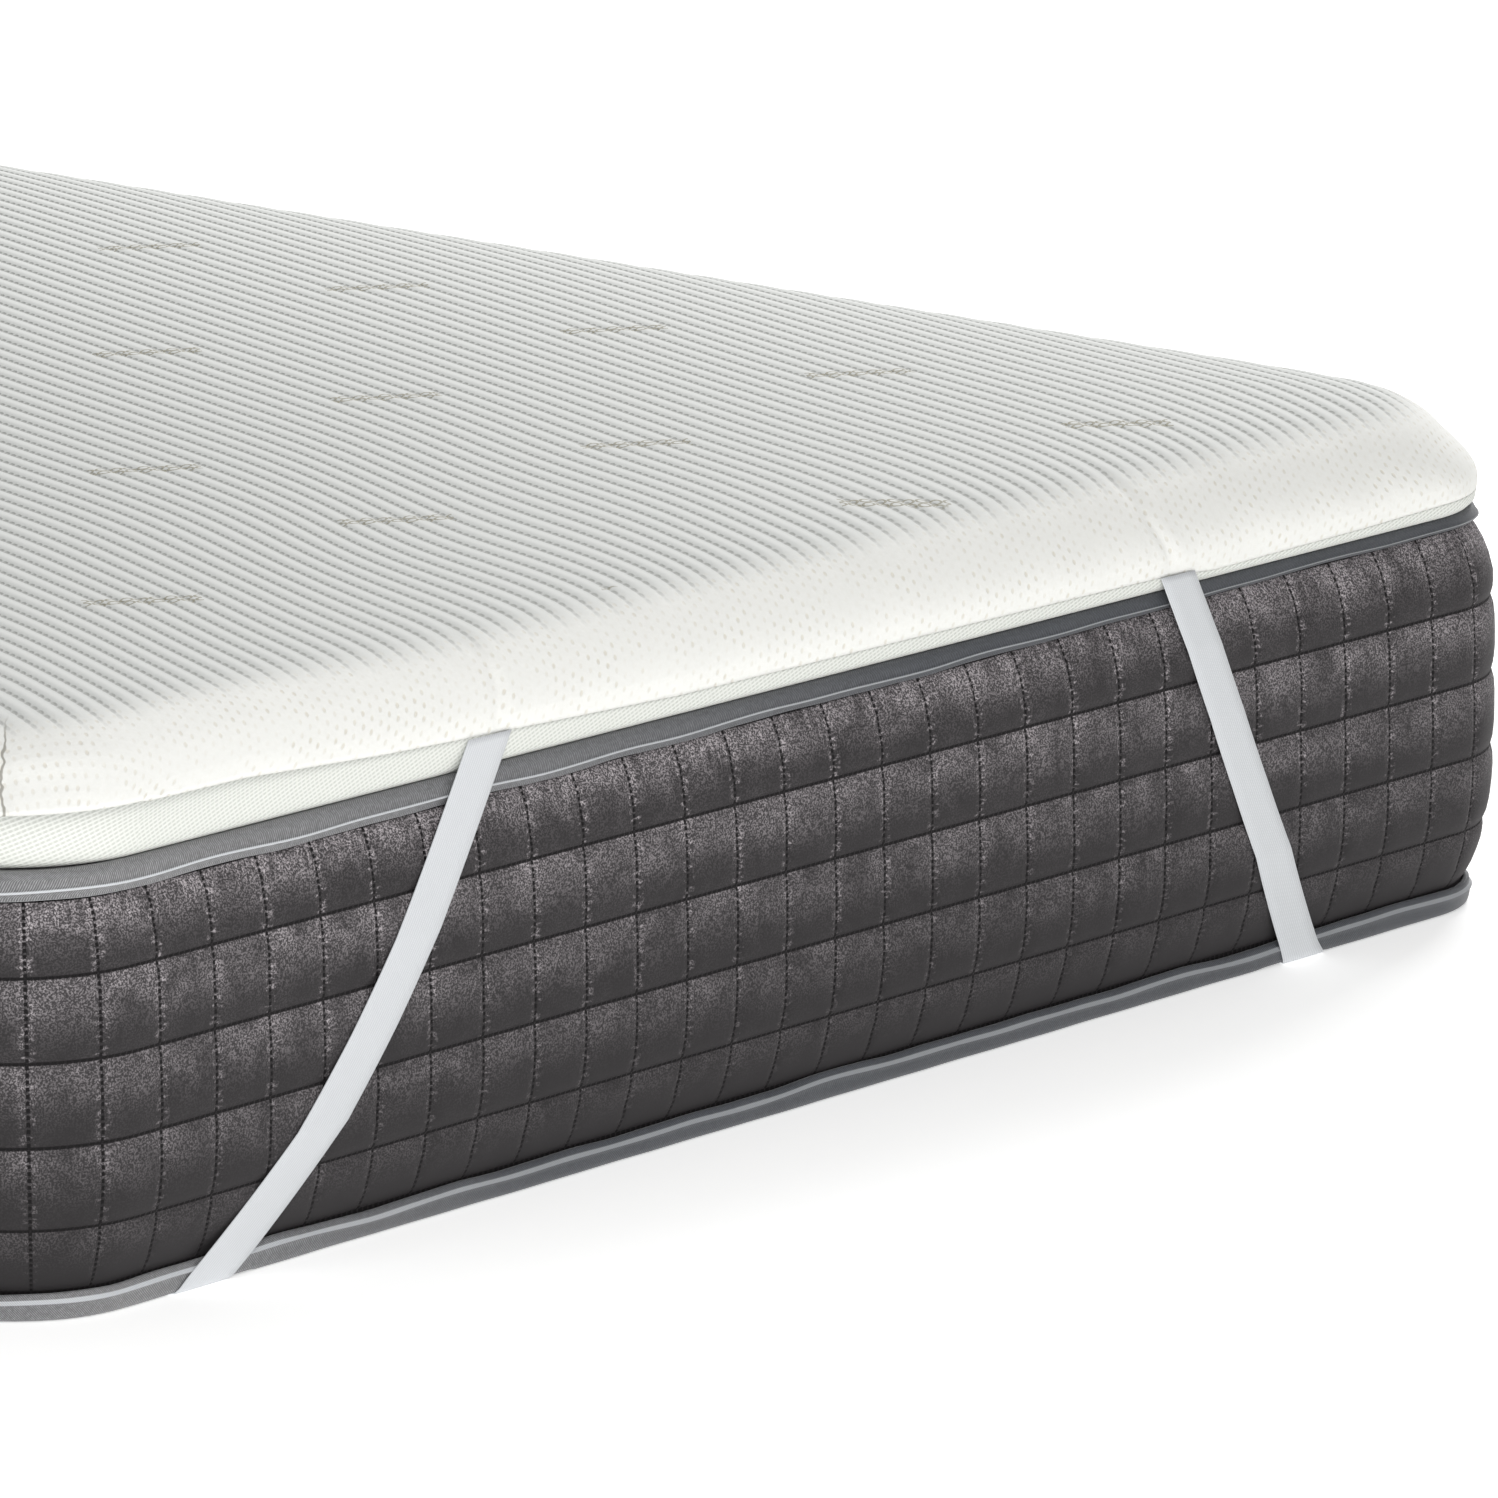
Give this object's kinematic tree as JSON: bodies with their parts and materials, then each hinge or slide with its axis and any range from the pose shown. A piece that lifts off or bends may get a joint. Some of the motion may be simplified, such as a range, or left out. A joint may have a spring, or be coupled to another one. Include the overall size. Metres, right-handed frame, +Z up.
{
  "type": "mattress topper on mattress",
  "caption": "Foam mattress topper in a ribbed knit cover with a rounded edge, strapped by corner elastics onto a plain quilted mattress.",
  "frame": {"origin": "on the floor under the middle of the mattress", "axes": "+Z up, Y along the bed's length, X across its width; the pictured short end faces -Y"},
  "size_m": [1.3532, 1.9032, 0.3341],
  "materials": {
    "ribbed_knit": "matte ribbed knit",
    "spacer_mesh": "matte open mesh",
    "elastic": "smooth woven elastic",
    "border_cloth": "quilted velvet",
    "binding_tape": "satin twill tape"
  },
  "bodies": {
    "root": {"topper_pad": "ribbed_knit", "topper_base_mesh": "spacer_mesh", "strap_front_left": "elastic", "strap_front_right": "elastic", "strap_back_left": "elastic", "strap_back_right": "elastic", "mattress_body": "border_cloth", "mattress_top_tape": "binding_tape", "mattress_bottom_tape": "binding_tape"}
  },
  "joints": []
}
